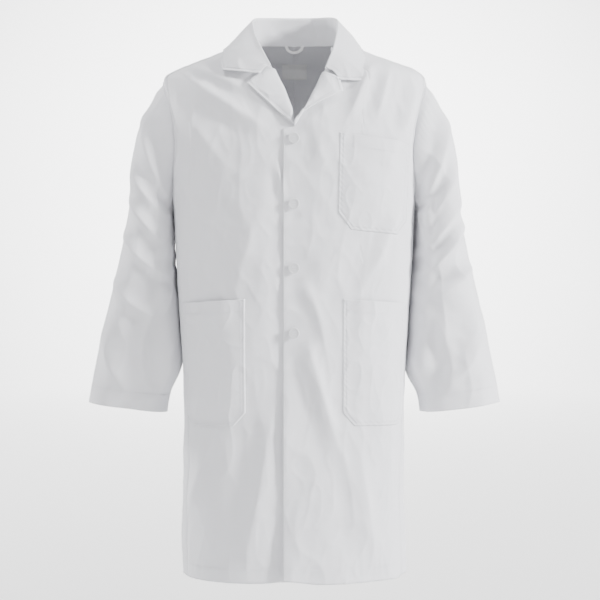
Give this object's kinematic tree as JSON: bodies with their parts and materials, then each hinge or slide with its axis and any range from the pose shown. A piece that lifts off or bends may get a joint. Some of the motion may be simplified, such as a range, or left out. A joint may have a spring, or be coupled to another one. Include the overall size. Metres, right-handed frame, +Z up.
{
  "type": "lab coat",
  "caption": "Knee-length white laboratory coat with a notched collar, a buttoned front, a chest pocket, lower patch pockets and plain sleeves.",
  "frame": {"origin": "midway between the two points where the shoulder seams meet the neck, where the coat hangs on the wearer's shoulders", "axes": "+Z up along the coat's length, -Y the coat's front, +X the wearer's left"},
  "size_m": [0.776, 0.2736, 1.0553],
  "materials": {
    "coat_cloth": "matt white woven twill",
    "woven_tape": "white woven tape",
    "thread": "white spun sewing thread",
    "button_plastic": "moulded, softly glossy off-white"
  },
  "bodies": {
    "coat_body": {"back_left": "coat_cloth", "back_right": "coat_cloth", "back_seam": "thread", "vent_underlap": "coat_cloth", "hem_back": "coat_cloth", "front_left_chest": "coat_cloth", "front_right_chest": "coat_cloth", "front_right": "coat_cloth", "facing_right": "coat_cloth", "hem_front_right": "coat_cloth", "shoulder_seam_left": "thread", "shoulder_seam_right": "thread", "side_seam_left": "thread", "side_seam_right": "thread", "lower_pocket_right": "coat_cloth", "lower_pocket_right_tack": "thread", "collar_stand": "coat_cloth", "collar_fall": "coat_cloth", "lapel_left": "coat_cloth", "lapel_right": "coat_cloth", "neck_label": "woven_tape", "button_shanks": "thread"},
    "front_left": {"front_left": "coat_cloth", "facing_left": "coat_cloth", "hem_front_left": "coat_cloth", "chest_pocket": "coat_cloth", "chest_pocket_tack": "thread", "lower_pocket_left": "coat_cloth", "lower_pocket_left_tack": "thread"},
    "sleeve_left": {"sleeve_left": "coat_cloth", "sleeve_hem_left": "coat_cloth"},
    "sleeve_right": {"sleeve_right": "coat_cloth", "sleeve_hem_right": "coat_cloth"},
    "hanger_loop": {"hanger_loop": "woven_tape"},
    "button_1": {"button_1": "button_plastic", "button_stitches_1": "thread"},
    "button_2": {"button_2": "button_plastic", "button_stitches_2": "thread"},
    "button_3": {"button_3": "button_plastic", "button_stitches_3": "thread"},
    "button_4": {"button_4": "button_plastic", "button_stitches_4": "thread"}
  },
  "joints": [
    {"name": "front_left_open", "type": "hinge", "parent": "coat_body", "child": "front_left", "pos_m": [0.2155, -0.045, -0.59], "axis": [0.0301, 0, 0.9995], "range_deg": [0, 50]},
    {"name": "sleeve_left_raise", "type": "hinge", "parent": "coat_body", "child": "sleeve_left", "pos_m": [0.25, 0.008, -0.066], "axis": [0, -1, 0], "range_deg": [0, 80]},
    {"name": "sleeve_right_raise", "type": "hinge", "parent": "coat_body", "child": "sleeve_right", "pos_m": [-0.25, 0.008, -0.066], "axis": [0, 1, 0], "range_deg": [0, 80]},
    {"name": "hanger_loop_lift", "type": "hinge", "parent": "coat_body", "child": "hanger_loop", "pos_m": [0, 0.0525, 0], "axis": [-1, 0, 0], "range_deg": [0, 150]},
    {"name": "button_1_turn", "type": "hinge", "parent": "coat_body", "child": "button_1", "pos_m": [0, -0.1283, -0.188], "axis": [0, 1, 0], "range_deg": [-45, 45], "stiffness_Nm_per_rad": 0.0001},
    {"name": "button_2_turn", "type": "hinge", "parent": "coat_body", "child": "button_2", "pos_m": [0, -0.1339, -0.308], "axis": [0, 1, 0], "range_deg": [-45, 45], "stiffness_Nm_per_rad": 0.0001},
    {"name": "button_3_turn", "type": "hinge", "parent": "coat_body", "child": "button_3", "pos_m": [0, -0.1353, -0.426], "axis": [0, 1, 0], "range_deg": [-45, 45], "stiffness_Nm_per_rad": 0.0001},
    {"name": "button_4_turn", "type": "hinge", "parent": "coat_body", "child": "button_4", "pos_m": [0, -0.136, -0.544], "axis": [0, 1, 0], "range_deg": [-45, 45], "stiffness_Nm_per_rad": 0.0001}
  ]
}
